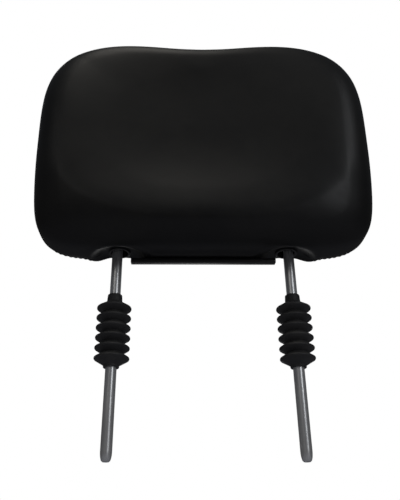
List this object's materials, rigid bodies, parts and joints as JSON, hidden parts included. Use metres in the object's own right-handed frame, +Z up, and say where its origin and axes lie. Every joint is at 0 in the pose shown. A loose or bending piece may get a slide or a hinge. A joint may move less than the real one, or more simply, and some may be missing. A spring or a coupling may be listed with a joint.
{
  "type": "car headrest",
  "caption": "Padded car headrest with a dished face, carried on round steel posts that each wear a sliding convoluted rubber boot.",
  "frame": {"origin": "midpoint between the flat ends of the left and right posts, where the seat's guides take them", "axes": "+Z up along the posts, -Y the way the padded face looks, X along the cushion's width"},
  "size_m": [0.327, 0.0736, 0.4121],
  "materials": {
    "post_steel": "bright drawn steel with a fine lengthwise polish",
    "plate_steel": "plain pressed steel, zinc plated and dull",
    "foam": "open moulded polyurethane foam, dark grey",
    "cover_vinyl": "black fine-grained upholstery vinyl with a soft satin sheen",
    "boot_rubber": "black moulded rubber, satin",
    "black_plastic": "black moulded plastic, half gloss"
  },
  "bodies": {
    "headrest": {"post_frame": "post_steel", "support_plate": "plate_steel", "post_strap_left_lower": "plate_steel", "post_strap_left_upper": "plate_steel", "post_strap_right_lower": "plate_steel", "post_strap_right_upper": "plate_steel", "rivet_1": "post_steel", "rivet_2": "post_steel", "rivet_3": "post_steel", "rivet_4": "post_steel", "rivet_5": "post_steel", "rivet_6": "post_steel", "rivet_7": "post_steel", "rivet_8": "post_steel", "foam_core": "foam", "cover_front": "cover_vinyl", "cover_back": "cover_vinyl", "closing_rail_front": "black_plastic", "closing_rail_back": "black_plastic", "post_ring_left": "black_plastic", "post_ring_right": "black_plastic", "ring_washer_left": "plate_steel", "ring_washer_right": "plate_steel"},
    "boot_left": {"bellows_left": "boot_rubber"},
    "boot_right": {"bellows_right": "boot_rubber"}
  },
  "joints": [
    {"name": "boot_left_slide", "type": "slide", "parent": "headrest", "child": "boot_left", "axis": [0, 0, 1], "range_m": [-0.066, 0.04]},
    {"name": "boot_right_slide", "type": "slide", "parent": "headrest", "child": "boot_right", "axis": [0, 0, 1], "range_m": [-0.066, 0.04]}
  ]
}
